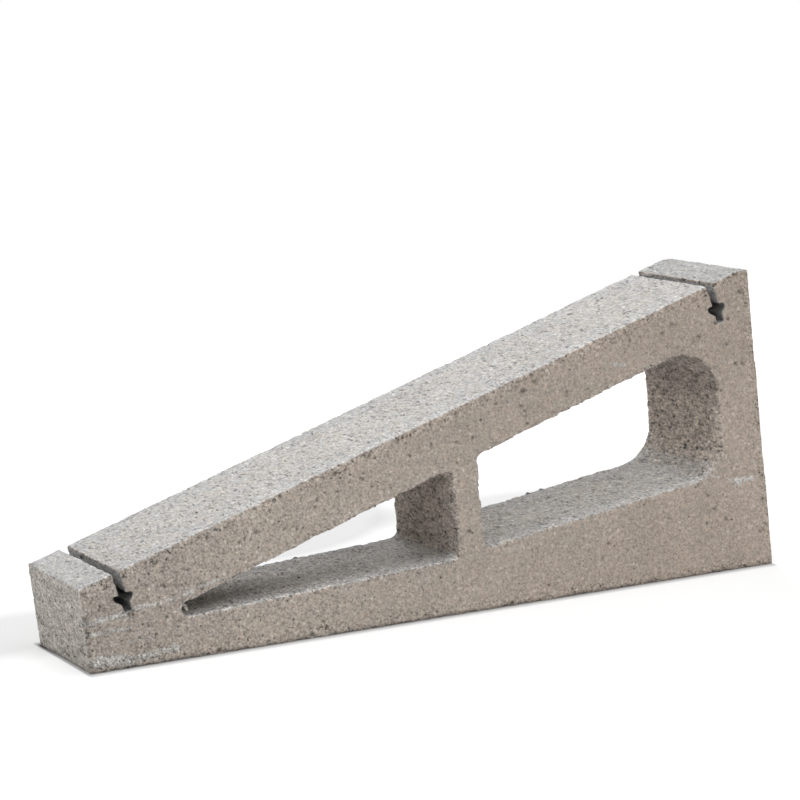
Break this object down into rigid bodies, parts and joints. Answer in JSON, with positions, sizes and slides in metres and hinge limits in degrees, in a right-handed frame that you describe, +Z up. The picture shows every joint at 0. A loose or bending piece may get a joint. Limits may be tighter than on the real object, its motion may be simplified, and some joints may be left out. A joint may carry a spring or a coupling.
{
  "type": "solar ballast mount",
  "caption": "Concrete wedge block that holds the edge of a solar panel at a fixed tilt on a flat roof by its own weight, with undercut clamp slots across its sloping top.",
  "frame": {"origin": "middle of the block's box, on the ground", "axes": "+X along the block towards its tall end, +Y across its width, +Z up"},
  "size_m": [0.8044, 0.2, 0.3342],
  "materials": {
    "concrete": "dry-cast concrete, open grain, matt, pale grey top and warm grey sides"
  },
  "bodies": {
    "root": {"ballast_block": "concrete"}
  },
  "joints": []
}
